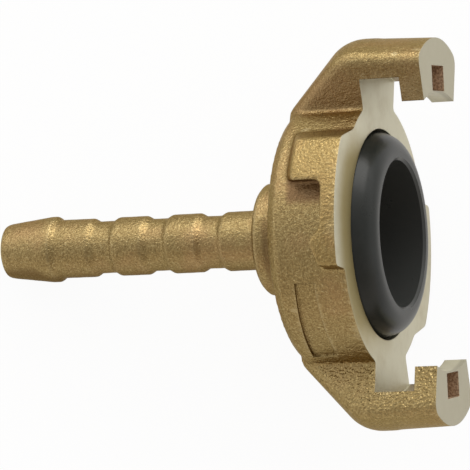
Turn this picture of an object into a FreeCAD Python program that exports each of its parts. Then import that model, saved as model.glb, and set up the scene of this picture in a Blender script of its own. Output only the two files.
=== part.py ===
import FreeCAD, Part
import math
import os

# Claw coupling half with a hose tail. All sizes are in millimetres.
# The fitting is drawn with its axis along X, the hose tail towards -X and the
# sealing plane at x = 0. One claw points up along Y and the other down, and
# half a turn about the axis brings the fitting back onto itself. At the end
# it is laid on the floor as it comes to rest, on one flange and the tail tip.

# Claws
claw_spacing = 40.0
claw_reach = 9.75
hook_gap = 6.25
hook_clearance = 1.2
arm_thickness = 4.9
crown_radius = 17.0
crown_half_width = 12.2
crown_depth = 5.6
crown_draft = 3.0
claw_edge_round = 1.8
pocket_width = 6.0
pocket_height = 3.6
pocket_depth = 2.0
pocket_foot = 21.7

# Arms that carry the claws
neck_half_width = 7.6
neck_height = 19.6
side_draft = 0.285
back_slope = 48.0
back_foot_height = 20.9
back_bend_radius = 6.2

# Core
core_diameter = 41.0
core_depth = 12.3
core_edge_bevel = 1.5

# Cam flanges, each with a locking bump at its open end and a stop at the other
flange_diameter = 48.0
flange_thickness = 2.45
flange_tail = 3.9
flange_end_draft = 10.0
flange_tail_round = 0.5
bump_height = 1.65
bump_start = 1.75
bump_crest = -0.1
bump_end = -4.1
bump_fall = 1.1
bump_round = 1.6
stop_foot = 8.85
stop_head = 15.1
stop_head_round = 1.6
stop_depth = 7.5
stop_edge_round = 0.7
recess_round = 1.2

# Sunken panel on the side of the core
panel_front = 5.2
panel_length = 3.0
panel_top = 6.5
panel_foot = 18.0
panel_sink = 0.55

# Collar and hose tail
collar_diameter = 17.4
collar_length = 6.6
collar_edge_bevel = 0.6
tail_length = 44.0
land_diameter = 9.3
groove_diameter = 8.25
groove_count = 3
groove_start = 6.5
groove_pitch = 9.1
groove_length = 4.5
groove_bevel = 1.0
crest_diameter = 10.45
crest_length = 1.0
crest_step = 0.65
nose_length = 7.5
nose_diameter = 8.8
tip_bevel_length = 0.8
tip_diameter = 8.4

# Waterway and seal seat
bore_diameter = 6.5
seat_diameter = 32.5
seat_depth = 5.6
chamber_diameter = 21.0
chamber_depth = 8.0

# Seal ring
seal_clearance = 0.05
seal_hole_diameter = 22.6
seal_protrusion = 3.0
seal_foot_length = 4.2
seal_side_lean = 1.5
seal_crown_round = 3.3
seal_edge_bevel = 0.4

# How far cutting shapes run past a face, and fused shapes into each other
overrun = 1.0
filling_lap = 0.3

core_radius = core_diameter / 2
flange_radius = flange_diameter / 2
groove_radius = flange_radius + hook_clearance
crown_height = groove_radius + arm_thickness
tip_half_width = neck_half_width + side_draft * (claw_spacing / 2 - neck_height)
tip_radius = math.hypot(claw_spacing / 2, tip_half_width)
collar_back = core_depth + collar_length
tail_end = collar_back + tail_length
axis_x = FreeCAD.Vector(1, 0, 0)
centre = FreeCAD.Vector(0, 0, 0)


def side_view(x, y):
    return FreeCAD.Vector(x, y, 0)


def front_view(z, y):
    return FreeCAD.Vector(0, y, z)


# A closed flat outline through the corners. A corner with a third value is
# rounded to that radius with an arc tangent to its two sides.
def outline(corners, view):
    edges = []
    start = None
    count = len(corners)
    flat = [view(corner[0], corner[1]) for corner in corners]
    ends = []
    for i, corner in enumerate(corners):
        here = flat[i]
        radius = corner[2] if len(corner) > 2 else 0.0
        if radius == 0.0:
            ends.append((here, None, here))
            continue
        come = (here - flat[i - 1]).normalize()
        leave = (flat[(i + 1) % count] - here).normalize()
        half_turn = come.getAngle(leave) / 2
        inward = (leave - come).normalize()
        setback = radius * math.tan(half_turn)
        middle = here + inward * (radius / math.cos(half_turn) - radius)
        ends.append((here - come * setback, middle, here + leave * setback))
    for i in range(count):
        first, middle, last = ends[i]
        if middle is not None:
            edges.append(Part.Arc(first, middle, last).toShape())
        after = ends[(i + 1) % count][0]
        if last.distanceToPoint(after) > 1e-7:
            edges.append(Part.LineSegment(last, after).toShape())
    return Part.Wire(edges)


def turned(corners):
    return Part.Face(outline(corners, side_view)).revolve(centre, axis_x, 360)


def extruded(corners, view, low, high):
    normal = view(1, 0).cross(view(0, 1))
    if view is front_view:
        normal = axis_x
    face = Part.Face(outline(corners, view))
    face.translate(normal * low)
    return face.extrude(normal * (high - low))


def half_turn_about_axis(shape):
    turned_shape = shape.copy()
    turned_shape.rotate(centre, axis_x, 180)
    return turned_shape


def hose_tail_outline():
    land = land_diameter / 2
    groove = groove_diameter / 2
    crest = crest_diameter / 2
    crest_front = tail_end - nose_length - crest_length
    corners = [(-collar_back, land)]
    for i in range(groove_count):
        start = collar_back + groove_start + i * groove_pitch
        stop = start + groove_length
        corners += [(-start, land), (-start - groove_bevel, groove)]
        corners += [(-stop + groove_bevel, groove), (-stop, land)]
    corners += [(-crest_front + crest_step, land), (-crest_front, crest)]
    corners += [(-crest_front - crest_length, crest)]
    corners += [(-tail_end + tip_bevel_length, nose_diameter / 2)]
    corners += [(-tail_end, tip_diameter / 2), (-tail_end, 0)]
    return corners


# Core, collar and tail are one turned shape
def make_core():
    collar = collar_diameter / 2
    corners = [(0, 0), (0, core_radius), (-core_depth + core_edge_bevel, core_radius)]
    corners += [(-core_depth, core_radius - core_edge_bevel), (-core_depth, collar)]
    corners += [(-collar_back + collar_edge_bevel, collar)]
    corners += [(-collar_back, collar - collar_edge_bevel)]
    return turned(corners + hose_tail_outline())


# Height of the crown's inner line above the axis, in front of the bend. It
# falls towards the front by the draft of the casting.
def crown_line(x):
    return crown_height - crown_depth - x * math.tan(math.radians(crown_draft))


def crown_direction():
    return side_view(1, -math.tan(math.radians(crown_draft))).normalize()


# The inner line that the crown of an arm follows: nearly level over the claw,
# then round a bend and down the sloping back to the rear edge of the core.
def crown_path():
    slope = math.radians(back_slope)
    draft = math.radians(crown_draft)
    ahead = crown_direction()
    foot = side_view(-core_depth, back_foot_height)
    foot += side_view(math.sin(slope), -math.cos(slope)) * crown_depth
    run = (crown_line(foot.x) - foot.y) / (math.sin(slope) + math.cos(slope) * math.tan(draft))
    corner = foot + side_view(math.cos(slope), math.sin(slope)) * run
    half_turn = (slope + draft) / 2
    radius = back_bend_radius - crown_depth
    setback = radius * math.tan(half_turn)
    down = side_view(-math.cos(slope), -math.sin(slope))
    inward = (down + ahead).normalize()
    middle = corner + inward * (radius / math.cos(half_turn) - radius)
    start = side_view(claw_reach + overrun, crown_line(claw_reach + overrun))
    bend_start = corner + ahead * setback
    bend_end = corner + down * setback
    finish = corner + down * (run + crown_depth)
    bend = Part.Arc(bend_start, middle, bend_end).toShape()
    before = Part.LineSegment(start, bend_start).toShape()
    after = Part.LineSegment(bend_end, finish).toShape()
    return Part.Wire([before, bend, after]), corner, down


# The crowned outside of an arm, as a thick skin swept along that line
def make_crown():
    path, corner, down = crown_path()
    ahead = crown_direction()
    start = side_view(claw_reach + overrun, crown_line(claw_reach + overrun))
    upward = side_view(-ahead.y, ahead.x)
    edge = crown_depth - crown_radius + math.sqrt(crown_radius ** 2 - crown_half_width ** 2)
    rise = [(-crown_half_width, 0), (-crown_half_width, edge), (0, crown_depth)]
    rise += [(crown_half_width, edge), (crown_half_width, 0)]
    low_left, left, top, right, low_right = [start + upward * y + front_view(z, 0) for z, y in rise]
    arc = Part.Arc(left, top, right).toShape()
    sides = [(right, low_right), (low_right, low_left), (low_left, left)]
    lines = [Part.LineSegment(a, b).toShape() for a, b in sides]
    return path.makePipeShell([Part.Wire([arc] + lines)], True, False)


# The inside of an arm, below the crowned skin
def make_arm_filling():
    path, corner, down = crown_path()
    outward = side_view(down.y, -down.x) * filling_lap
    run = (-core_depth - corner.x - outward.x) / down.x
    low = corner + outward + down * run
    corners = [(claw_reach, 0), (claw_reach, crown_line(claw_reach) + filling_lap)]
    corners += [(corner.x, corner.y + filling_lap), (-core_depth, low.y), (-core_depth, 0)]
    return extruded(corners, side_view, -crown_half_width, crown_half_width)


# Sides of an arm: walls that run along the crown and, seen from the front, draw
# together to the core. They stop at the face of the claw and the core's rear.
def make_arm_sides():
    top = crown_height + crown_depth
    top_half_width = neck_half_width + side_draft * (top - neck_height)
    foot = core_radius / 2
    foot_half_width = neck_half_width + side_draft * (foot - neck_height)
    corners = [(foot_half_width, foot), (top_half_width, top)]
    corners += [(-top_half_width, top), (-foot_half_width, foot)]
    ahead = crown_direction()
    face = Part.Face(outline(corners, front_view))
    face.translate(ahead * -(core_depth + overrun))
    sides = face.extrude(ahead * (core_depth + claw_reach + 2 * overrun))
    room = [(top_half_width, 0), (top_half_width, top), (-top_half_width, top), (-top_half_width, 0)]
    return sides.common(extruded(room, front_view, -core_depth, claw_reach))


# The straight edges of the crown in front of the bend
def long_crown_edges(arm):
    ahead = crown_direction()
    chosen = []
    for edge in arm.Edges:
        middle = edge.CenterOfMass
        along = edge.tangentAt(edge.FirstParameter).cross(ahead).Length < 1e-3
        if along and middle.y > crown_line(middle.x):
            chosen.append(edge)
    return chosen


# One arm with its hooked claw. The space behind the claw and the claw's tip are
# turned about the axis, so that the round flange of a mating half runs in them.
def make_arm():
    arm = make_crown().fuse(make_arm_filling()).common(make_arm_sides())
    arm = arm.removeSplitter()
    arm = arm.makeFillet(claw_edge_round, long_crown_edges(arm))
    reach = claw_reach + overrun
    gap = [(0, 0), (0, groove_radius), (hook_gap, groove_radius), (hook_gap, tip_radius)]
    arm = arm.cut(turned(gap + [(reach, tip_radius), (reach, 0)]))
    pocket = Part.makeBox(pocket_depth + overrun, pocket_height, pocket_width)
    pocket.translate(FreeCAD.Vector(claw_reach - pocket_depth, pocket_foot, -pocket_width / 2))
    return arm.cut(pocket)


# Where one end of a flange meets its round rim, seen from the front: the end's
# outward normal, its start at the axis, and the arc that rounds the corner.
def flange_end(height, side, radius):
    draft = math.radians(flange_end_draft)
    normal = front_view(math.sin(draft), side * math.cos(draft))
    along = front_view(math.cos(draft), -side * math.sin(draft))
    reach = normal.dot(front_view(math.sqrt(flange_radius ** 2 - height ** 2), side * height))
    away = math.sqrt((flange_radius - radius) ** 2 - (reach - radius) ** 2)
    middle = normal * (reach - radius) + along * away
    outward = middle * (1 / middle.Length)
    halfway = middle + (normal + outward).normalize() * radius
    return normal * reach, middle + normal * radius, halfway, outward * flange_radius


# The front view of a flange: a round rim between two drafted ends
def flange_front():
    head = flange_end(stop_head, 1, stop_head_round)
    tail = flange_end(flange_tail, -1, flange_tail_round)
    rim_middle = (head[3] + tail[3]).normalize() * flange_radius
    edges = [Part.LineSegment(centre, head[0]), Part.LineSegment(head[0], head[1])]
    edges += [Part.Arc(head[1], head[2], head[3]), Part.Arc(head[3], rim_middle, tail[3])]
    edges += [Part.Arc(tail[3], tail[2], tail[1]), Part.LineSegment(tail[1], tail[0])]
    edges += [Part.LineSegment(tail[0], centre)]
    return Part.Face(Part.Wire([edge.toShape() for edge in edges]))


# One cam flange on the side of the core. Its side view is pulled straight out
# of the core and trimmed to the front view.
def make_flange():
    bump_tip = -flange_thickness - bump_height
    profile = [(0, -core_radius / 2), (0, core_radius)]
    profile += [(-stop_depth, core_radius), (-stop_depth, stop_foot, stop_edge_round)]
    profile += [(-flange_thickness, stop_foot, recess_round)]
    profile += [(-flange_thickness, bump_start), (bump_tip, bump_crest, bump_round)]
    profile += [(bump_tip + bump_fall, bump_end), (bump_tip + bump_fall, -core_radius / 2)]
    body = extruded(profile, side_view, 0, flange_radius)
    return body.common(flange_front().extrude(-axis_x * stop_depth))


def make_panel():
    height = panel_foot - panel_top
    panel = Part.makeBox(panel_length, height, core_radius)
    panel.translate(FreeCAD.Vector(-panel_front - panel_length, -panel_foot, 0))
    floor = Part.makeCylinder(core_radius - panel_sink, core_depth, -axis_x * core_depth, axis_x)
    return panel.cut(floor)


# The space that the water and the seal take
def make_waterway():
    seat = seat_diameter / 2
    chamber = chamber_diameter / 2
    bore = bore_diameter / 2
    end = -tail_end - overrun
    corners = [(overrun, 0), (overrun, seat), (-seat_depth, seat), (-seat_depth, chamber)]
    corners += [(-chamber_depth, chamber), (-chamber_depth, bore)]
    corners += [(end, bore), (end, 0)]
    return turned(corners)


def make_body():
    arm = make_arm()
    flange = make_flange()
    pieces = [arm, half_turn_about_axis(arm), flange, half_turn_about_axis(flange)]
    body = make_core().fuse(pieces).removeSplitter()
    body = body.cut(make_waterway()).cut(make_panel())
    return body.Solids[0]


# The two claws in front of the sealing plane, each a solid of its own that
# stands on the body face to face, with the upper one first.
def split_off_claws(body):
    side = 2 * (crown_height + crown_depth)
    front = Part.makeBox(claw_reach + overrun, side, side)
    front.translate(FreeCAD.Vector(0, -side / 2, -side / 2))
    claws = sorted(body.common(front).Solids, key=lambda claw: -claw.CenterOfMass.y)
    return body.cut(front).Solids[0], claws


# The seal sits on the floor of its seat and stands proud of the sealing plane
def make_seal():
    hole = seal_hole_diameter / 2
    foot = seat_diameter / 2 - seal_clearance
    corners = [(-seat_depth, hole), (-seat_depth, foot), (-seat_depth + seal_foot_length, foot)]
    corners += [(seal_protrusion, foot - seal_side_lean, seal_crown_round)]
    corners += [(seal_protrusion, hole + seal_edge_bevel)]
    corners += [(seal_protrusion - seal_edge_bevel, hole)]
    return turned(corners).Solids[0]


# The lowest point of a group of points, seen along a floor normal
def lowest(points, up):
    return min(points, key=lambda p: p.dot(up))


# The floor that the fitting comes to rest on touches the tail tip, and on the
# far flange the locking bump and the rear corner of the stop.
def floor_normal(body):
    points = body.tessellate(0.05)[0]
    tip = [p for p in points if p.x < -tail_end + nose_length]
    rim = [p for p in points if p.x > -core_depth and p.z < 0 and abs(p.y) < flange_radius]
    bump = [p for p in rim if p.y > -stop_foot / 2]
    stop = [p for p in rim if p.y < -stop_foot / 2]
    up = FreeCAD.Vector(0, 0, 1)
    for step in range(8):
        a, b, c = lowest(tip, up), lowest(bump, up), lowest(stop, up)
        up = (b - a).cross(c - a).normalize()
        if up.z < 0:
            up = -up
    return up


def lay_on_floor(pieces):
    up = floor_normal(pieces["coupling_body"])
    ahead = (axis_x - up * axis_x.dot(up)).normalize()
    turn = FreeCAD.Rotation(ahead, up.cross(ahead), up, "ZXY").inverted()
    for piece in pieces.values():
        piece.Placement = FreeCAD.Placement(centre, turn).multiply(piece.Placement)
    box = Part.makeCompound(list(pieces.values())).optimalBoundingBox(False, False)
    base = FreeCAD.Vector(box.Center.x, box.Center.y, box.ZMin)
    for piece in pieces.values():
        piece.translate(-base)


body, claws = split_off_claws(make_body())
pieces = {"coupling_body": body, "upper_claw": claws[0], "lower_claw": claws[1]}
pieces["seal_ring"] = make_seal()
lay_on_floor(pieces)
os.makedirs("parts", exist_ok=True)
for name, piece in pieces.items():
    piece.exportStep(os.path.join("parts", name + ".step"))
    print(name, "volume", round(piece.Volume, 1), "valid", piece.isValid(), "solids", len(piece.Solids))
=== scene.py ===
import math
import bmesh
import bpy
import numpy as np
from mathutils import Euler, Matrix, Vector


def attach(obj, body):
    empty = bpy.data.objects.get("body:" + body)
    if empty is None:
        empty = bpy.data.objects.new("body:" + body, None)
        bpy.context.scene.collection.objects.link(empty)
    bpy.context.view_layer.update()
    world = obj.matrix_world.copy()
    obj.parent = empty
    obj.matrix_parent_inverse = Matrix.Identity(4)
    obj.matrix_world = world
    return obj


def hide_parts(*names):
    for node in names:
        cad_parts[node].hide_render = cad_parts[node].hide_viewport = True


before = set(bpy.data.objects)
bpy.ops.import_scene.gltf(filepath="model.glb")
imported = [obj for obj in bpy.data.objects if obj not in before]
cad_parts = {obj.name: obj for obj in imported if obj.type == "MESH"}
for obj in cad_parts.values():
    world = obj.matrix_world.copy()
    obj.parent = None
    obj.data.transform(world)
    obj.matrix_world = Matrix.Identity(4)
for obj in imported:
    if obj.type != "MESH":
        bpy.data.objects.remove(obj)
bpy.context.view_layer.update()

scene = bpy.context.scene
scene.view_settings.view_transform = "Standard"

# How the fitting lies: its own axes are X along the hose tail towards the
# claws, Y from claw to claw and Z out of the upper flange, in millimetres.
lie = {
    "tilt": 18.48854,           # degrees that the front end is raised
    "roll": 3.91575,            # degrees turned about its own axis
    "facePoint": (24.099186, 0.0, 23.929758),  # middle of the sealing face, in mm
}


def fittingAxes():
    # rows are the fitting's X, Y and Z in the frame of the part
    tilt, roll = math.radians(lie["tilt"]), math.radians(lie["roll"])
    ahead = np.array([math.cos(tilt), 0.0, math.sin(tilt)])
    upright = np.array([-math.sin(tilt), 0.0, math.cos(tilt)])
    side = np.cross(upright, ahead)
    across = math.cos(roll) * side + math.sin(roll) * upright
    return np.stack([ahead, across, math.cos(roll) * upright - math.sin(roll) * side])


axes = fittingAxes()
facePoint = np.array(lie["facePoint"])


def toFitting(points):
    # millimetres in the fitting's own axes, from metres in the frame
    return (points * 1000.0 - facePoint) @ axes.T


def fromFitting(points):
    # and back again
    return (points @ axes + facePoint) / 1000.0


# Sockets and nodes

def plug(tree, socket, value):
    # a link where the value comes from a node, and otherwise the value itself
    if isinstance(value, Wire):
        tree.links.new(value.socket, socket)
    else:
        socket.default_value = value


class Wire:
    # a socket that takes part in sums, each of which is one Math node

    def __init__(self, tree, socket):
        self.tree = tree
        self.socket = socket

    def worked(self, operation, first, second):
        made = self.tree.nodes.new("ShaderNodeMath")
        made.operation = operation
        plug(self.tree, made.inputs[0], first)
        plug(self.tree, made.inputs[1], second)
        return Wire(self.tree, made.outputs[0])

    def __add__(self, other):
        return self.worked("ADD", self, other)

    def __radd__(self, other):
        return self.worked("ADD", other, self)

    def __sub__(self, other):
        return self.worked("SUBTRACT", self, other)

    def __rsub__(self, other):
        return self.worked("SUBTRACT", other, self)

    def __mul__(self, other):
        return self.worked("MULTIPLY", self, other)

    def __rmul__(self, other):
        return self.worked("MULTIPLY", other, self)

    def __pow__(self, other):
        return self.worked("POWER", self, other)


class Finish:
    # a material or a world whose nodes are being wired

    def __init__(self, tree):
        self.tree = tree

    def node(self, kind, settings=None, out=0, **inputs):
        # its settings come first, then its sockets, by name with _ for a space
        # or by number as i0, i1 and so on; an output node gives no wire
        made = self.tree.nodes.new(kind)
        for key, value in (settings or {}).items():
            setattr(made, key, value)
        for key, value in inputs.items():
            numbered = key[0] == "i" and key[1:].isdigit()
            plug(self.tree, made.inputs[int(key[1:]) if numbered else key.replace("_", " ")], value)
        return Wire(self.tree, made.outputs[out]) if len(made.outputs) else None

    def blend(self, share, first, second):
        # the first colour where the share is 0, the second where it is 1
        first, second = [value if isinstance(value, Wire) else (*value, 1.0) for value in (first, second)]
        return self.node("ShaderNodeMix", {"data_type": "RGBA"}, 2, i0=share, i6=first, i7=second)

    def step(self, value, low, high):
        # a smooth rise from 0 at low to 1 at high
        return self.node("ShaderNodeMapRange", {"interpolation_type": "SMOOTHSTEP", "clamp": True},
                         Value=value, From_Min=low, From_Max=high)

    def band(self, value, rise, fall):
        # 1 between a rise and a fall, 0 outside them
        return self.step(value, *rise) * (1.0 - self.step(value, *fall))

    def place(self):
        return self.node("ShaderNodeTexCoord", out=3)   # Object coordinates

    def fittingPlace(self):
        # Object coordinates in the fitting's own axes, in millimetres, and the
        # distance from its long axis
        moved = self.node("ShaderNodeVectorMath", {"operation": "MULTIPLY_ADD"}, i0=self.place(),
                          i1=(1000.0, 1000.0, 1000.0), i2=tuple(-facePoint))
        along, across, outward = [
            self.node("ShaderNodeVectorMath", {"operation": "DOT_PRODUCT"}, 1, i0=moved, i1=tuple(row))
            for row in axes]
        return along, across, outward, (across * across + outward * outward) ** 0.5

    def noise(self, size, detail, roughness):
        # the size in metres
        return self.node("ShaderNodeTexNoise", Vector=self.place(), Scale=1.0 / size,
                         Detail=detail, Roughness=roughness)


def newFinish(name):
    material = bpy.data.materials.new(name)
    material.use_nodes = True
    return material, Finish(material.node_tree), material.node_tree.nodes["Principled BSDF"]


def feed(finish, shader, **inputs):
    # the shader's own sockets, by name with _ for a space
    for key, value in inputs.items():
        plug(finish.tree, shader.inputs[key.replace("_", " ")], value)


raySamples = 4                  # rays that look for a crease or a worn edge


# Each noise is a size in metres, a detail and a roughness. A pair of numbers is
# where something starts and is complete, and two pairs are its rise and its fall.
# Places are in the fitting's millimetres: along, across and outward are its axes,
# behind and below run the other way, and aside is across either way.
castBrass = {
    "grain": (0.00032, 1.5, 0.6),      # blasted dimples
    "pits": (0.00018, 0.0, 0.5),
    "wave": (0.0007, 2.0, 0.5),
    "bead": (0.00040, 0.0, 0.5),       # coarser dimples of the lower arm
    "patch": (0.0060, 3.0, 0.6),
    "tarnish": (0.0085, 2.0, 0.5),
    "grainShare": 0.65,         # of the height; the pits make up the rest
    "dark": (0.200, 0.135, 0.055),
    "gold": (0.418, 0.316, 0.142),
    "goldHeight": (0.32, 0.70),
    "goldShare": 0.75,          # the patches make up the rest
    "pale": (0.560, 0.462, 0.262),
    "paleHeight": (0.58, 0.74),
    "paleShare": 0.6,
    "ridge": (0.510, 0.565),    # pointiness, which is over a half on a ridge
    "ridgeShare": 0.45,
    "copper": (0.400, 0.235, 0.120),   # faint reddish tarnish
    "copperFrom": (0.46, 0.70),
    "copperShare": 0.35,
    "creaseShade": (0.150, 0.092, 0.040),   # painted shade: the colour that darkens inner corners, the collar's root and the tail's underside
    "creaseReach": 0.0005,      # metres from an inner corner that it reaches
    "creaseDepth": (0.05, 0.40),
    "creaseShare": 0.32,
    "edgeTint": (0.72, 0.63, 0.48),
    "roughness": 0.33,
    "pitRoughness": 0.3,
    "relief": 0.00014,          # metres, depth of the dimples
    "waveRelief": 0.00010,
    "beads": 2.1,               # height of the coarser dimples against the waves
    "edgeRadius": 0.00020,      # worn edge beside a turned face
    "recessShade": {                 # painted shade under each stop's ledge, on a rougher skin; its colour is also the upper arm's painted shade
        "colour": (0.200, 0.120, 0.062), "share": 0.85, "roughness": 0.15,
        "side": ((4.8, 6.4), (8.8, 9.3)), "behind": ((2.2, 2.8), (8.2, 9.4)), "radius": (20.8, 21.8)},
    "collarShade": {            # painted shade on the collar, beside the core's rim
        "share": 0.70, "along": (-17.6, -16.5), "radius": (9.6, 10.1), "across": ((-9.0, -4.0), (2.0, 5.5))},
    "tailShade": {              # painted shade on the underside of the tail, reaching higher up its nose
        "share": 0.75, "below": (3.6, 5.0), "behind": (18.6, 19.4), "nose": (54.5, 58.0), "noseRise": 1.4},
    "rim": {                    # the flanges' rims, handled bright
        "colour": (0.350, 0.240, 0.085), "share": 0.35, "beads": 0.45,
        "radius": (22.8, 23.8), "aside": (14.5, 16.0)},
    "upperArmShade": {"share": 0.35, "across": ((17.5, 20.5), (25.0, 27.0))},   # painted shade on its sides, which face away from the light
    "lowerArm": {"share": 0.25, "below": (15.0, 21.0)},     # coarser dimples, and painted light: nearer to plain gold, as it faces the light
}


def castColour(finish, height):
    # dark in the dimples and gold on their crests, the highest pale, with a slow
    # reddish tarnish and pale ridges
    look = castBrass
    crest, patch = finish.step(height, *look["goldHeight"]), finish.noise(*look["patch"])
    gold = crest * look["goldShare"] + patch * (1.0 - look["goldShare"])
    body = finish.blend(gold, look["dark"], look["gold"])
    body = finish.blend(finish.step(height, *look["paleHeight"]) * look["paleShare"], body, look["pale"])
    tarnish = finish.step(finish.noise(*look["tarnish"]), *look["copperFrom"])
    body = finish.blend(tarnish * look["copperShare"], body, look["copper"])
    pointiness = finish.node("ShaderNodeNewGeometry", out=7)
    return finish.blend(finish.step(pointiness, *look["ridge"]) * look["ridgeShare"], body, look["pale"])


def shadeUnderStops(finish, along, across, outward, radius):
    # painted shade under the ledge of each stop; the stops repeat after half a turn, so their side changes
    # with outward's sign
    area = castBrass["recessShade"]
    side = across * finish.node("ShaderNodeMath", {"operation": "SIGN"}, i0=outward)
    skin = finish.band(side, *area["side"]) * finish.band(along * -1.0, *area["behind"])
    return skin * (1.0 - finish.step(radius, *area["radius"])) * area["share"]


def withPaintedShade(finish, body, along, across, radius):
    # painted shade: darker in every inner corner, then round the collar's root and under the tail
    shadeColour = castBrass["creaseShade"]
    behind = along * -1.0
    light = finish.node("ShaderNodeAmbientOcclusion", {"samples": raySamples, "only_local": True}, 1,
                        Distance=castBrass["creaseReach"])
    corner = finish.step(1.0 - light, *castBrass["creaseDepth"])
    body = finish.blend(corner * castBrass["creaseShare"], body, shadeColour)
    # painted shade on the collar, where it would reflect the core's shaded rear face
    area = castBrass["collarShade"]
    shadeMask = finish.step(along, *area["along"]) * (1.0 - finish.step(radius, *area["radius"]))
    shadeMask = shadeMask * finish.band(across, *area["across"])
    body = finish.blend(shadeMask * area["share"], body, shadeColour)
    # painted shade on the tail's underside, higher up near its nose
    area = castBrass["tailShade"]
    depth = across * -1.0 + finish.step(behind, *area["nose"]) * area["noseRise"]
    shadeMask = finish.step(depth, *area["below"]) * finish.step(behind, *area["behind"])
    return finish.blend(shadeMask * area["share"], body, shadeColour)


def makeCastBrass():
    # blasted casting: dimples of two sizes over slow waves, with painted shade in the corners, under the
    # stops, on the collar, upper arm and tail, the rubbed rims of a used fitting, and on the lower arm a
    # coarser skin and painted light
    material, finish, shader = newFinish("castBrass")
    look = castBrass
    along, across, outward, radius = finish.fittingPlace()
    pits = finish.noise(*look["pits"])
    height = finish.noise(*look["grain"]) * look["grainShare"] + pits * (1.0 - look["grainShare"])
    # painted shade under the stops, which also makes that skin rougher
    skin = shadeUnderStops(finish, along, across, outward, radius)
    aside = finish.node("ShaderNodeMath", {"operation": "ABSOLUTE"}, i0=across)
    rim = finish.step(radius, *look["rim"]["radius"]) * (1.0 - finish.step(aside, *look["rim"]["aside"]))
    # painted shade on the upper arm's sides
    upper = finish.band(across, *look["upperArmShade"]["across"])
    # the lower arm: coarser dimples, and painted light in plainer gold
    lower = finish.step(across * -1.0, *look["lowerArm"]["below"])

    body = finish.blend(skin, castColour(finish, height), look["recessShade"]["colour"])
    body = withPaintedShade(finish, body, along, across, radius)
    body = finish.blend(rim * look["rim"]["share"], body, look["rim"]["colour"])
    body = finish.blend(upper * look["upperArmShade"]["share"], body, look["recessShade"]["colour"])
    body = finish.blend(lower * look["lowerArm"]["share"], body, look["gold"])

    beads = finish.noise(*look["bead"]) * (lower + rim * look["rim"]["beads"]) * look["beads"]
    edge = finish.node("ShaderNodeBevel", {"samples": raySamples}, Radius=look["edgeRadius"])
    slow = finish.node("ShaderNodeBump", Strength=1.0, Distance=look["waveRelief"],
                       Height=finish.noise(*look["wave"]) + beads, Normal=edge)
    relief = finish.node("ShaderNodeBump", Strength=1.0, Distance=look["relief"], Height=height, Normal=slow)
    rough = look["roughness"] + (0.5 - pits) * look["pitRoughness"] + skin * look["recessShade"]["roughness"]
    shader.inputs["Specular Tint"].default_value = (*look["edgeTint"], 1.0)
    feed(finish, shader, Base_Color=body, Metallic=1.0, Roughness=rough, Normal=relief)
    return material


pocketBrass = {                 # uncleaned casting skin in the claws' pockets
    "grain": (0.00030, 2.0, 0.6),
    "dark": (0.240, 0.150, 0.090),
    "pale": (0.560, 0.400, 0.260),
    "paleFrom": (0.30, 0.70),
    "metallic": 0.4,
    "roughness": 0.50,
    "relief": 0.00008,
}


def makePocketBrass():
    # dark and pale grains, which stand up as they are pale
    material, finish, shader = newFinish("pocketBrass")
    look = pocketBrass
    grain = finish.noise(*look["grain"])
    body = finish.blend(finish.step(grain, *look["paleFrom"]), look["dark"], look["pale"])
    relief = finish.node("ShaderNodeBump", Strength=1.0, Distance=look["relief"], Height=grain)
    feed(finish, shader, Base_Color=body, Metallic=look["metallic"],
         Roughness=look["roughness"], Normal=relief)
    return material


boreBrass = {                   # darker, rougher and less metallic brass in the chamber and the bore
    "patch": (0.0012, 3.0, 0.6),
    "dark": (0.085, 0.066, 0.042),
    "pale": (0.170, 0.138, 0.092),
    "paleFrom": (0.20, 0.90),
    "metallic": 0.4,
    "roughness": 0.55,
    "patchRoughness": 0.2,
}


def makeBoreBrass():
    # flat and patchy, the pale patches a little rougher
    material, finish, shader = newFinish("boreBrass")
    look = boreBrass
    patch = finish.noise(*look["patch"])
    body = finish.blend(finish.step(patch, *look["paleFrom"]), look["dark"], look["pale"])
    rough = look["roughness"] + (patch - 0.5) * look["patchRoughness"]
    feed(finish, shader, Base_Color=body, Metallic=look["metallic"], Roughness=rough)
    return material


machinedBrass = {
    "wobble": (0.0016, 2.0, 0.5),      # of the turning marks
    "cloud": (0.0045, 3.0, 0.6),
    "spots": (0.0024, 4.0, 0.65),
    "base": (0.610, 0.580, 0.440),
    "worn": (0.510, 0.460, 0.325),
    "wornFrom": (0.42, 0.75),
    "wornShare": 0.6,
    "toolPitch": 0.16,          # millimetres between turning marks
    "toolSway": 0.3,            # millimetres that they wobble
    "toolLead": 0.7,            # outward shift of the marks for each millimetre along
    "markShare": 0.08,
    "stain": (0.330, 0.245, 0.150),
    "stainFrom": (0.50, 0.72),
    "stainShare": 0.12,
    "outerStain": {"share": 0.45, "radius": (25.0, 30.0)},     # more of it on the claws
    # darker on the groove's wall inside each hook, in the stain's colour
    "grooveDarker": {"share": 0.7, "radius": (24.7, 25.1), "along": ((0.1, 0.4), (6.0, 6.2))},
    "ringSide": {               # yellower beside the rubber ring, on the upper side
        "colour": (0.310, 0.236, 0.072), "share": 0.85,
        "radius": (19.0, 24.0), "outward": (-4.0, 2.0), "across": ((-20.0, -12.0), (11.0, 17.0))},
    "clawFace": {"colour": (0.415, 0.385, 0.278), "share": 0.9, "along": (8.5, 9.2)},   # darker on the claws' faces
    "metallic": 0.80,
    "roughness": 0.36,
    "cloudRoughness": 0.12,
    "relief": 0.000004,
    "reliefStrength": 0.5,
    "edgeRadius": 0.00025,
}


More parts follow.
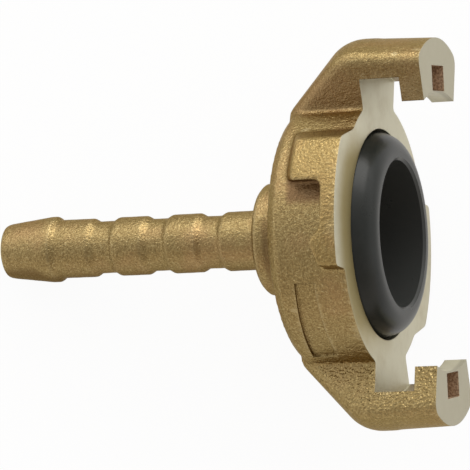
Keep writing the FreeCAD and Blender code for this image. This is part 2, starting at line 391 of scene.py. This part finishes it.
def makeMachinedBrass():
    # turned faces: rings about the fitting's axis, soft clouds and stains
    material, finish, shader = newFinish("machinedBrass")
    look = machinedBrass
    along, across, outward, radius = finish.fittingPlace()
    travel = radius + finish.noise(*look["wobble"]) * look["toolSway"] + along * look["toolLead"]
    rings = finish.node("ShaderNodeMath", {"operation": "SINE"},
                        i0=travel * (2.0 * math.pi / look["toolPitch"]))
    cloud = finish.noise(*look["cloud"])
    worn = finish.step(cloud, *look["wornFrom"]) * look["wornShare"]
    body = finish.blend(worn, look["base"], look["worn"])
    body = finish.blend(finish.step(rings, -1.0, 1.0) * look["markShare"], body, look["worn"])
    outer = finish.step(radius, *look["outerStain"]["radius"]) * look["outerStain"]["share"]
    spots = finish.step(finish.noise(*look["spots"]), *look["stainFrom"]) * (look["stainShare"] + outer)
    body = finish.blend(spots, body, look["stain"])
    area = look["ringSide"]
    inner = (1.0 - finish.step(radius, *area["radius"])) * finish.step(outward, *area["outward"])
    inner = inner * finish.band(across, *area["across"])
    body = finish.blend(inner * area["share"], body, area["colour"])
    area = look["clawFace"]
    body = finish.blend(finish.step(along, *area["along"]) * area["share"], body, area["colour"])
    area = look["grooveDarker"]
    groove = finish.step(radius, *area["radius"]) * finish.band(along, *area["along"])
    body = finish.blend(groove * area["share"], body, look["stain"])
    edge = finish.node("ShaderNodeBevel", {"samples": raySamples}, Radius=look["edgeRadius"])
    relief = finish.node("ShaderNodeBump", Strength=look["reliefStrength"], Distance=look["relief"],
                         Height=rings, Normal=edge)
    rough = look["roughness"] + cloud * look["cloudRoughness"]
    feed(finish, shader, Base_Color=body, Metallic=look["metallic"], Roughness=rough, Normal=relief)
    return material


rubber = {
    "cloud": (0.0040, 3.0, 0.6),
    "fine": (0.00035, 2.0, 0.5),
    "base": (0.0140, 0.0160, 0.0145),
    "dusty": (0.022, 0.024, 0.023),
    "dustyFrom": (0.35, 0.75),
    "dustyShare": 0.6,
    "inner": (0.042, 0.044, 0.042),    # painted light: the hole's wall is lighter, to lift the shade inside the hole
    "innerRadius": (11.4, 11.9),
    "roughness": 0.24,
    "cloudRoughness": 0.1,
    "gloss": 0.26,
    "relief": 0.00001,
    "reliefStrength": 0.4,
    "sharpAngle": 28.0,         # degrees past which the ring's edges stay crisp
}


def makeRubber():
    # nearly black, with dusty clouds, and painted light on the wall of the hole, which is lighter
    material, finish, shader = newFinish("ringRubber")
    look = rubber
    cloud = finish.noise(*look["cloud"])
    dust = finish.step(cloud, *look["dustyFrom"]) * look["dustyShare"]
    body = finish.blend(dust, look["base"], look["dusty"])
    radius = finish.fittingPlace()[-1]
    # painted light: lighter on the wall of the hole
    body = finish.blend(1.0 - finish.step(radius, *look["innerRadius"]), body, look["inner"])
    relief = finish.node("ShaderNodeBump", Strength=look["reliefStrength"], Distance=look["relief"],
                         Height=finish.noise(*look["fine"]))
    shader.inputs["Specular IOR Level"].default_value = look["gloss"]
    rough = look["roughness"] + cloud * look["cloudRoughness"]
    feed(finish, shader, Base_Color=body, Roughness=rough, Normal=relief)
    return material


# The fitting is made as the real one is: a casting with soft edges, whose front
# is then cut on a lathe, which leaves those faces flat and their edges crisp.
# All of the places below are in the fitting's millimetres.

cut = {
    "clawFace": 9.75,           # places of the turned faces along the axis
    "hookBack": 6.25,
    "seatFloor": -5.6,
    "grooveRadius": 25.2,       # radii of the turned walls
    "tipRadius": 21.437,
    "seatRadius": 16.25,
    "nearFace": 0.06,           # how far a flat face may lie from its place
    "nearWall": 0.24,           # the same for a wall, whose chords lie inside it
    "faceSquare": 0.98,         # least cosine between a face's normal and the axis
    "wallSquare": 0.9,          # the same between a wall's normal and its radius
    "clear": 40.0,              # radius and length that the tool sweeps in front
    "turns": 256,               # facets round the axis
}

pocket = {                      # the cast pocket in the face of each claw
    "depth": 2.0,
    "width": 6.0,
    "low": 21.48,               # from and to this distance from the axis
    "high": 25.35,
    "cover": 0.6,               # the CAD's pocket is filled first by this much more
}

waterway = {                    # just outside its walls
    "chamber": 10.7,
    "chamberEnd": 8.2,
    "bore": 3.45,
    "mouth": 0.1,               # how far behind the seat's floor it starts
}

stops = {                       # the cams behind each flange
    "front": -2.45,             # back of the flange
    "back": -7.5,
    "rimBack": -7.15,           # after the draft, at the rim and at the core
    "coreBack": -9.0,
    "rim": 24.0,
    "core": 20.5,
    "flange": 11.0,             # least distance outwards of what belongs to a flange
    "foot": 8.0,                # across, where the stop is clear of the bump
    "bumpSide": 2.0,            # across, up to which the bump reaches
    "bumpScale": 1.15,          # how much further back the bump goes
    "slack": 0.1,               # how far outside its place a point may lie
    "free": 0.01,               # how far behind the flange the moved points start
}

tail = {                        # hose tail, from the collar to the tip
    "seam": -13.9,              # where it joins the body, on the collar
    "lap": 0.3,                 # how far it reaches over the body there
    "proud": 0.015,             # how far it stands above the body's own collar
    "collar": (18.9, 8.70, 0.6),         # end along the axis, radius, bevel
    "land": 4.65,
    "groove": 4.125,
    "grooves": (25.4, 34.5, 43.6),
    "grooveLength": 4.5,
    "grooveBevel": 0.9,
    "crest": (54.4, 55.4, 5.225, 0.65),  # start, end, radius, length of the slope before it
    "nose": (62.1, 4.40),
    "tip": (62.9, 4.20),
    "bore": 3.25,
    "edge": 0.10,               # how soft the edges are
    "samples": 4,               # points of the fine outline within that length
    "step": 0.30,               # between the rings that are kept
    "turns": 88,
    "uneven": 0.012,            # height of the casting's slow waves
    "waves": (1.7, 0.9, 1.3),   # first and second in radians a millimetre, and sway
}

panel = {                       # sunken panel on the side of the core
    "front": -5.2,
    "back": -8.2,
    "top": -6.5,                # across
    "foot": -18.0,
    "core": 20.5,               # radius of the core, and of the panel's floor
    "floor": 20.05,
    "spread": 0.85,             # how much further back it reaches at its foot
    "lean": 0.16,               # how much wider it is where it meets the core
    "points": 24,
    "fillDepth": 0.5,           # the CAD's panel is filled first, to below the floor
    "fillCover": 0.05,          # and by this much more all round
    "cutHeight": 1.0,           # how far the cut reaches above the core
}

casting = {
    "stock": 1.0,               # left on the faces that the lathe cuts
    "grid": 0.31,               # between points of the cast surface
    "softening": 4,             # passes that round the edges
    "share": 0.55,              # share of the faces kept afterwards
    "sharpAngle": 50.0,         # degrees past which an edge stays crisp
}


def readMesh(mesh):
    # places in the fitting's millimetres, and the corners of each triangle
    places = np.zeros(len(mesh.vertices) * 3)
    mesh.vertices.foreach_get("co", places)
    corners = np.zeros(len(mesh.loops), np.int32)
    mesh.loops.foreach_get("vertex_index", corners)
    return toFitting(places.reshape(-1, 3)), corners


def writePlaces(mesh, places):
    mesh.vertices.foreach_set("co", fromFitting(places).ravel())
    mesh.update()


def faceMiddles(mesh):
    # the middle of each face in the fitting's millimetres, and its distance from
    # the long axis
    middle = np.zeros(len(mesh.polygons) * 3)
    mesh.polygons.foreach_get("center", middle)
    middle = toFitting(middle.reshape(-1, 3))
    return middle, np.hypot(middle[:, 1], middle[:, 2])


def newPiece(name, mesh):
    piece = bpy.data.objects.new(name, mesh)
    scene.collection.objects.link(piece)
    return piece


weldReach = 1e-7                # metres within which corners of a node are one


def mergedCopy(name, *nodes):
    # one mesh from the nodes' loose triangles, each node closed by itself
    mesh = bpy.data.meshes.new(name)
    joined = bmesh.new()
    for node in nodes:
        shell = bmesh.new()
        shell.from_mesh(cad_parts[node].data)
        bmesh.ops.remove_doubles(shell, verts=shell.verts, dist=weldReach)
        part = bpy.data.meshes.new(name + "Part")
        shell.to_mesh(part)
        shell.free()
        joined.from_mesh(part)
        bpy.data.meshes.remove(part)
    joined.to_mesh(mesh)
    joined.free()
    if "custom_normal" in mesh.attributes:
        mesh.attributes.remove(mesh.attributes["custom_normal"])
    return mesh


def closedMesh(name, places, faces):
    # a mesh from places in the fitting's millimetres, its faces turned outwards
    mesh = bpy.data.meshes.new(name)
    mesh.from_pydata(fromFitting(places).tolist(), [], faces)
    work = bmesh.new()
    work.from_mesh(mesh)
    bmesh.ops.recalc_face_normals(work, faces=work.faces)
    work.to_mesh(mesh)
    work.free()
    return mesh


def turnedFaces(mesh):
    # for each face, the way that a lathe cut it: -1 or 1 for a flat face that
    # looks back or ahead along the axis, 2 for a round one that looks inwards
    middle, radius = faceMiddles(mesh)
    normal = np.zeros(len(mesh.polygons) * 3)
    mesh.polygons.foreach_get("normal", normal)
    normal = normal.reshape(-1, 3) @ axes.T
    inward = -(middle[:, 1] * normal[:, 1] + middle[:, 2] * normal[:, 2]) / np.maximum(radius, 1e-6)
    inFront = middle[:, 0] > cut["seatFloor"] - cut["nearFace"]
    atPlane = np.zeros(len(middle), bool)
    for place in (0.0, cut["clawFace"], cut["hookBack"], cut["seatFloor"]):
        atPlane |= np.abs(middle[:, 0] - place) < cut["nearFace"]
    atWall = np.zeros(len(middle), bool)
    for place in (cut["grooveRadius"], cut["tipRadius"], cut["seatRadius"]):
        atWall |= np.abs(radius - place) < cut["nearWall"]
    kind = np.zeros(len(middle), np.int32)
    flat = inFront & atPlane & (np.abs(normal[:, 0]) > cut["faceSquare"])
    kind[flat] = np.sign(normal[flat, 0]).astype(np.int32)
    kind[inFront & atWall & (inward > cut["wallSquare"]) & ~flat] = 2
    return kind


def addStock(mesh):
    # every corner of a turned face moves out of it by the stock: along the axis
    # for a flat face, towards the axis for a round one, both where they meet
    places, corners = readMesh(mesh)
    corners = corners.reshape(-1, 3)
    kind = turnedFaces(mesh)
    ahead = np.zeros(len(places))
    inwards = np.zeros(len(places))
    for way in (-1, 1):
        ahead[corners[kind == way].ravel()] = way
    inwards[corners[kind == 2].ravel()] = 1.0
    radius = np.maximum(np.hypot(places[:, 1], places[:, 2]), 1e-6)
    places[:, 0] += ahead * casting["stock"]
    places[:, 1:] *= (1.0 - inwards * casting["stock"] / radius)[:, None]
    writePlaces(mesh, places)


def draftStops(mesh):
    # the rear wall of each stop leans: x runs from rimBack at the rim to
    # coreBack at the core. Seen from the front, half a turn apart, the stop is
    # on one side of its flange and the locking bump on the other.
    x, y, z = readMesh(mesh)[0].T
    radius = np.hypot(y, z)
    front, back = stops["front"], stops["back"]
    onFlange = (np.abs(z) > stops["flange"]) & (radius > stops["core"] - stops["slack"])
    onFlange &= (x < front - stops["free"]) & (x > back - stops["slack"])
    side = y * np.sign(z)
    lean = (stops["rim"] - radius) / (stops["rim"] - stops["core"])
    target = stops["rimBack"] + np.clip(lean, 0.0, 1.0) * (stops["coreBack"] - stops["rimBack"])
    drafted = front + (x - front) * (target - front) / (back - front)
    raised = front + (x - front) * stops["bumpScale"]
    x = np.where(onFlange & (side > stops["foot"]), drafted, x)
    x = np.where(onFlange & (side < stops["bumpSide"]), raised, x)
    writePlaces(mesh, np.stack([x, y, z], axis=1))


# the corners of each side of a box, numbered as boxCorners gives them
boxSides = [(0, 1, 3, 2), (4, 6, 7, 5), (0, 4, 5, 1), (2, 3, 7, 6), (0, 2, 6, 4), (1, 5, 7, 3)]


def boxCorners(low, high):
    # every choice of low or high in x, y and z
    return np.where(np.indices((2, 2, 2)).reshape(3, -1).T == 0, low, high)


def pocketBoxes(name, cover):
    # both pockets, made larger by the cover, and by half of it towards the axis;
    # the second is the first after half a turn about the axis, (x, -y, -z)
    half = pocket["width"] / 2 + cover
    low = [cut["clawFace"] - pocket["depth"] - cover, pocket["low"] - cover / 2, -half]
    high = [cut["clawFace"] + casting["stock"], pocket["high"] + cover, half]
    one = boxCorners(low, high)
    two = one * np.array([1.0, -1.0, -1.0])
    otherSides = [tuple(len(one) + i for i in side) for side in boxSides]
    return closedMesh(name, np.vstack([one, two]), boxSides + otherSides)


def rearRoom(name):
    # all the space behind the seam
    wide = cut["clear"]
    return closedMesh(name, boxCorners([-2 * wide, -wide, -wide], [tail["seam"], wide, wide]), boxSides)


def ringWalls(rings, turns, closed=False):
    # quads between neighbouring rings of points, and from the last ring to the
    # first where the line is closed
    here = np.arange(turns)
    after = (here + 1) % turns
    ring = (np.arange(rings if closed else rings - 1) * turns)[:, None]
    following = (ring + turns) % (rings * turns)
    return np.stack([(ring + here).ravel(), (following + here).ravel(),
                     (following + after).ravel(), (ring + after).ravel()], axis=1).tolist()


def tailOutline():
    # the outline (x, r) of the tail's outside, walked in small even steps and
    # blurred along its length, which rounds its corners
    end, collar, bevel = tail["collar"]
    skin = collar + tail["proud"]
    line = [(tail["seam"] + tail["lap"], skin), (-end + bevel, skin),
            (-end, collar - bevel), (-end, tail["land"])]
    for start in tail["grooves"]:
        stop = start + tail["grooveLength"]
        line += [(-start, tail["land"]), (-start - tail["grooveBevel"], tail["groove"]),
                 (-stop + tail["grooveBevel"], tail["groove"]), (-stop, tail["land"])]
    start, stop, crest, rise = tail["crest"]
    tip, tipRadius = tail["tip"]
    line += [(-start + rise, tail["land"]), (-start, crest), (-stop, crest),
             (-tail["nose"][0], tail["nose"][1]), (-tip, tipRadius), (-tip, tail["bore"])]
    x, r = np.array(line).T
    run = np.concatenate([[0.0], np.cumsum(np.hypot(np.diff(x), np.diff(r)))])
    samples = tail["samples"]
    fine = tail["edge"] / samples
    walk = np.arange(0.0, run[-1], fine)
    reach = 4 * samples         # the blur fades out within four widths
    blur = np.exp(-0.5 * (np.arange(-reach, reach + 1) / samples) ** 2)
    blur /= blur.sum()
    x, r = [np.convolve(np.pad(np.interp(walk, run, values), reach, "edge"), blur, "valid")
            for values in (x, r)]
    keep = np.arange(0, len(walk), max(1, int(tail["step"] / fine)))
    return np.append(x[keep], -tip), np.append(r[keep], tail["bore"])


def hoseTail(name):
    # the outline, closed along the bore, turned about the axis: p = (x, r cos a,
    # r sin a), where r varies by uneven * (w - 1) with the slow wave
    # w = sin(first x + sway sin 2a) * cos(second x - 3a)
    x, r = tailOutline()
    x = np.append(x, tail["seam"] + tail["lap"])[:, None]
    r = np.append(r, tail["bore"])[:, None]
    rings, turns = len(x), tail["turns"]
    angle = np.arange(turns) * 2 * math.pi / turns
    first, second, sway = tail["waves"]
    wave = np.sin(first * x + sway * np.sin(2 * angle)) * np.cos(second * x - 3 * angle)
    wide = r + tail["uneven"] * (wave - 1.0)
    places = np.stack([np.broadcast_to(x, wide.shape), wide * np.cos(angle), wide * np.sin(angle)], axis=2)
    return closedMesh(name, places.reshape(-1, 3), ringWalls(rings, turns, closed=True))


def panelBlock(name, low, high, cover):
    # a block of the core's side between two radii: z = sqrt(r r - y y), with y
    # from the panel's foot, which leans out with r, to its top; both ends and
    # sides are wider by the lean at the high radius
    count = panel["points"]
    layers = []
    for radius, wide in ((low, cover), (high, cover + panel["lean"])):
        y = np.linspace(panel["foot"] * radius / panel["core"] - wide, panel["top"] + wide, count)
        z = np.sqrt(radius ** 2 - y ** 2)
        back = panel["back"] - wide - panel["spread"] * (panel["top"] - y) / (panel["top"] - panel["foot"])
        for x in (back, np.full(count, panel["front"] + wide)):
            layers.append(np.stack([x, y, z], axis=1))
    i = np.arange(count - 1)
    j = i + 1
    # first points of the four edges: low back, low front, high back, high front
    a, b, c, d = [k * count for k in range(4)]
    strips = [(a, b), (c, d), (a, c), (b, d)]
    walls = np.vstack([np.stack([one + i, one + j, two + j, two + i], axis=1) for one, two in strips])
    ends = [(a + k, b + k, d + k, c + k) for k in (0, count - 1)]
    return closedMesh(name, np.vstack(layers), walls.tolist() + ends)


def latheCut(name):
    # the space that the tool sweeps: a stepped line in (x, r) turned about the
    # axis, p = (x, r cos a, r sin a), and closed by a fan of triangles at each end
    clear = cut["clear"]
    line = [(cut["seatFloor"], cut["seatRadius"]), (0.0, cut["seatRadius"]), (0.0, cut["grooveRadius"]),
            (cut["hookBack"], cut["grooveRadius"]), (cut["hookBack"], cut["tipRadius"]),
            (cut["clawFace"], cut["tipRadius"]), (cut["clawFace"], clear), (clear, clear)]
    x, r = np.array(line).T
    rings, turns = len(line), cut["turns"]
    angle = np.arange(turns) * 2 * math.pi / turns
    walls = np.stack([np.repeat(x, turns), np.outer(r, np.cos(angle)).ravel(),
                      np.outer(r, np.sin(angle)).ravel()], axis=1)
    places = np.vstack([walls, [[cut["seatFloor"], 0.0, 0.0], [clear, 0.0, 0.0]]])
    here = np.arange(turns)
    after = (here + 1) % turns
    floorPoint = np.full(turns, rings * turns)
    last = (rings - 1) * turns
    floorCap = np.stack([floorPoint, here, after], axis=1).tolist()
    frontCap = np.stack([floorPoint + 1, last + after, last + here], axis=1).tolist()
    return closedMesh(name, places, ringWalls(rings, turns) + floorCap + frontCap)


def applied(piece):
    # the mesh that the piece's modifiers give, with the modifiers gone
    shown = piece.evaluated_get(bpy.context.evaluated_depsgraph_get())
    mesh = bpy.data.meshes.new_from_object(shown)
    piece.modifiers.clear()
    piece.data = mesh
    return mesh


def combine(piece, mesh, finish, operation="DIFFERENCE"):
    # takes the mesh's space out of the piece, or adds it, and gives the mesh's
    # faces a finish
    tool = newPiece(mesh.name, mesh)
    tool.data.materials.append(finish)
    combined = piece.modifiers.new("combined", "BOOLEAN")
    combined.operation = operation
    combined.solver = "MANIFOLD"
    combined.material_mode = "TRANSFER"
    combined.object = tool
    applied(piece)
    bpy.data.objects.remove(tool)


def soften(mesh):
    # each pass moves every point halfway to the mean of its neighbours:
    # p = p + (mean(p of neighbours) - p) / 2
    places, corners = readMesh(mesh)
    ends = np.zeros(len(mesh.edges) * 2, np.int32)
    mesh.edges.foreach_get("vertices", ends)
    first, second = ends.reshape(-1, 2).T
    count = len(places)
    links = np.bincount(first, minlength=count) + np.bincount(second, minlength=count)
    for sweep in range(casting["softening"]):
        total = [np.bincount(first, places[second, i], count) + np.bincount(second, places[first, i], count)
                 for i in range(3)]
        places += (np.stack(total, axis=1) / links[:, None] - places) * 0.5
    writePlaces(mesh, places)


def roughCasting(name):
    # the three brass nodes in one soft-edged skin, with stock on the turned
    # faces, and with the pockets and the panel filled until they are cut
    mesh = mergedCopy(name, "coupling_body", "upper_claw", "lower_claw")
    addStock(mesh)
    draftStops(mesh)
    fillFloor = panel["floor"] - panel["fillDepth"]
    work = bmesh.new()
    work.from_mesh(mesh)
    work.from_mesh(pocketBoxes("pocketFill", pocket["cover"]))
    work.from_mesh(panelBlock("panelFill", fillFloor, panel["core"], panel["fillCover"]))
    work.to_mesh(mesh)
    work.free()
    piece = newPiece(name, mesh)
    grid = piece.modifiers.new("grid", "REMESH")
    grid.mode = "VOXEL"
    grid.voxel_size = casting["grid"] / 1000.0
    soften(applied(piece))
    fewer = piece.modifiers.new("fewer", "DECIMATE")
    fewer.ratio = casting["share"]
    applied(piece)
    return piece


def dullBore(mesh):
    # the last finish goes to the faces inside the waterway
    middle, radius = faceMiddles(mesh)
    inside = (middle[:, 0] < cut["seatFloor"] - waterway["mouth"]) & (radius < waterway["chamber"])
    inside &= (middle[:, 0] > -waterway["chamberEnd"]) | (radius < waterway["bore"])
    finishes = np.zeros(len(mesh.polygons), np.int32)
    mesh.polygons.foreach_get("material_index", finishes)
    finishes[inside] = len(mesh.materials) - 1
    mesh.polygons.foreach_set("material_index", finishes)


def makeFitting(cast, machined, rough, inside):
    piece = roughCasting("clawFitting")
    piece.data.materials.clear()
    piece.data.materials.append(cast)
    combine(piece, rearRoom("rearRoom"), cast)
    combine(piece, hoseTail("hoseTail"), cast, "UNION")
    combine(piece, panelBlock("panelRoom", panel["floor"], panel["core"] + panel["cutHeight"], 0.0), cast)
    combine(piece, latheCut("latheTool"), machined)
    combine(piece, pocketBoxes("pocketCore", 0.0), rough)
    piece.data.materials.append(inside)
    dullBore(piece.data)
    piece.data.name = "clawFitting"
    piece.data.shade_smooth()
    piece.data.set_sharp_from_angle(angle=math.radians(casting["sharpAngle"]))
    piece.data.calc_loop_triangles()
    print("casting:", len(piece.data.loop_triangles), "triangles")
    return piece


def makeRing(finish):
    piece = newPiece("sealRing", mergedCopy("sealRing", "seal_ring"))
    piece.data.shade_smooth()
    piece.data.set_sharp_from_angle(angle=math.radians(rubber["sharpAngle"]))
    piece.data.materials.clear()
    piece.data.materials.append(finish)
    print("seal ring:", len(piece.data.polygons), "faces")
    return piece


clawFitting = makeFitting(makeCastBrass(), makeMachinedBrass(), makePocketBrass(), makeBoreBrass())
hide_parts("coupling_body", "upper_claw", "lower_claw")
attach(clawFitting, "root")

sealRing = makeRing(makeRubber())
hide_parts("seal_ring")
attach(sealRing, "root")


# Floor, light and camera

studio = {
    "floorSize": 3.0,           # metres
    "floorColour": (0.86, 0.86, 0.86),
    "floorGlow": 0.94,          # share of plain white that hides most of the shadow
    "mirroredGlow": 0.25,       # the same, as the metal reflects it
    "white": (1.0, 1.0, 1.0),
    "skyTint": (1.0, 0.985, 0.96),
    "dimTint": (1.0, 0.91, 0.81),
    "skyTop": 0.59,             # straight above
    "skyBright": 1.01,          # more of it towards the upper claw
    "brightFrom": (0.05, 0.90), # share of a direction that points that way
    "skyDip": 0.12,             # less of it on the lower claw's side
    "dipFrom": (0.05, 0.60),
    "horizonGlow": 0.46,
    "horizonTop": 0.80,         # share of a direction that points up, where it starts
    "horizonDepth": 0.55,
    "keyPower": 1.5,
    "keyPlace": (0.16, 0.62, 0.28),
    "keyColour": (1.0, 0.98, 0.94),
    "fillPower": 0.06,
    "fillPlace": (-0.45, 0.10, 0.45),
    "lampSize": 0.45,
    "aim": (0.0, 0.0, 0.02),    # the point that both lamps face
}


def makeFloor():
    # a diffuse floor under a share of plain white, which differs by how it is seen
    size = studio["floorSize"] / 2
    mesh = bpy.data.meshes.new("floor")
    corners = [(-size, -size, 0), (size, -size, 0), (size, size, 0), (-size, size, 0)]
    mesh.from_pydata(corners, [], [(0, 1, 2, 3)])
    floor = newPiece("floor", mesh)
    material = bpy.data.materials.new("paleFloor")
    material.use_nodes = True
    material.node_tree.nodes.clear()
    finish = Finish(material.node_tree)
    # outputs of Light Path: 0 is the camera, 3 a glossy ray, 6 one passing through
    seen = finish.node("ShaderNodeLightPath", out=0)
    mirrored = finish.node("ShaderNodeLightPath", out=3) + finish.node("ShaderNodeLightPath", out=6)
    shown = seen * studio["floorGlow"] + mirrored * studio["mirroredGlow"]
    plain = finish.node("ShaderNodeBsdfDiffuse", Color=(*studio["floorColour"], 1.0))
    white = finish.node("ShaderNodeEmission", Color=(*studio["white"], 1.0), Strength=1.0)
    mixed = finish.node("ShaderNodeMixShader", Fac=shown, i1=plain, i2=white)
    finish.node("ShaderNodeOutputMaterial", Surface=mixed)
    mesh.materials.append(material)


def makeWorld():
    # plain white to the camera, and to everything else a soft sky, brighter on
    # the side of the upper claw, with a dip on the other side and a pale rim
    world = bpy.data.worlds.new("softSky")
    world.use_nodes = True
    world.node_tree.nodes.clear()
    finish = Finish(world.node_tree)
    direction = finish.node("ShaderNodeTexCoord", out=0)
    sideways = finish.node("ShaderNodeSeparateXYZ", out=1, i0=direction)
    height = finish.node("ShaderNodeSeparateXYZ", out=2, i0=direction)
    towards = finish.step(sideways, *studio["brightFrom"])
    away = finish.step(sideways * -1.0, *studio["dipFrom"])
    low = finish.step(studio["horizonTop"] - height, 0.0, studio["horizonDepth"])
    strength = studio["skyTop"] + towards * studio["skyBright"] - away * studio["skyDip"]
    strength = strength + low * studio["horizonGlow"]
    tint = finish.blend(away, studio["skyTint"], studio["dimTint"])
    sky = finish.node("ShaderNodeBackground", Color=tint, Strength=strength)
    plain = finish.node("ShaderNodeBackground", Color=(*studio["white"], 1.0), Strength=1.0)
    seen = finish.node("ShaderNodeLightPath", out=0)
    mixed = finish.node("ShaderNodeMixShader", Fac=seen, i1=sky, i2=plain)
    finish.node("ShaderNodeOutputWorld", Surface=mixed)
    scene.world = world


def makeLamp(name, place, power, colour):
    light = bpy.data.lights.new(name, "AREA")
    light.energy = power
    light.size = studio["lampSize"]
    light.color = colour
    lamp = bpy.data.objects.new(name, light)
    lamp.location = place
    lamp.rotation_euler = (Vector(studio["aim"]) - Vector(place)).to_track_quat("-Z", "Y").to_euler()
    scene.collection.objects.link(lamp)


view = {
    "place": (0.01915, -0.026623, 0.523724),
    "turn": (3.05596, 2.14745, -1.50659),   # degrees about X, Y and Z
    "lens": 249.462,            # millimetres, as the sensor
    "sensor": 36.0,
    "nearest": 0.01,
}


def makeCamera():
    data = bpy.data.cameras.new("camera")
    data.lens = view["lens"]
    data.sensor_width = view["sensor"]
    data.sensor_fit = "HORIZONTAL"
    data.clip_start = view["nearest"]
    camera = bpy.data.objects.new("camera", data)
    camera.location = view["place"]
    camera.rotation_euler = Euler([math.radians(turn) for turn in view["turn"]], "XYZ")
    scene.collection.objects.link(camera)
    scene.camera = camera


makeFloor()
makeWorld()
makeLamp("keyLamp", studio["keyPlace"], studio["keyPower"], studio["keyColour"])
makeLamp("fillLamp", studio["fillPlace"], studio["fillPower"], studio["white"])
makeCamera()
print("studio ready")
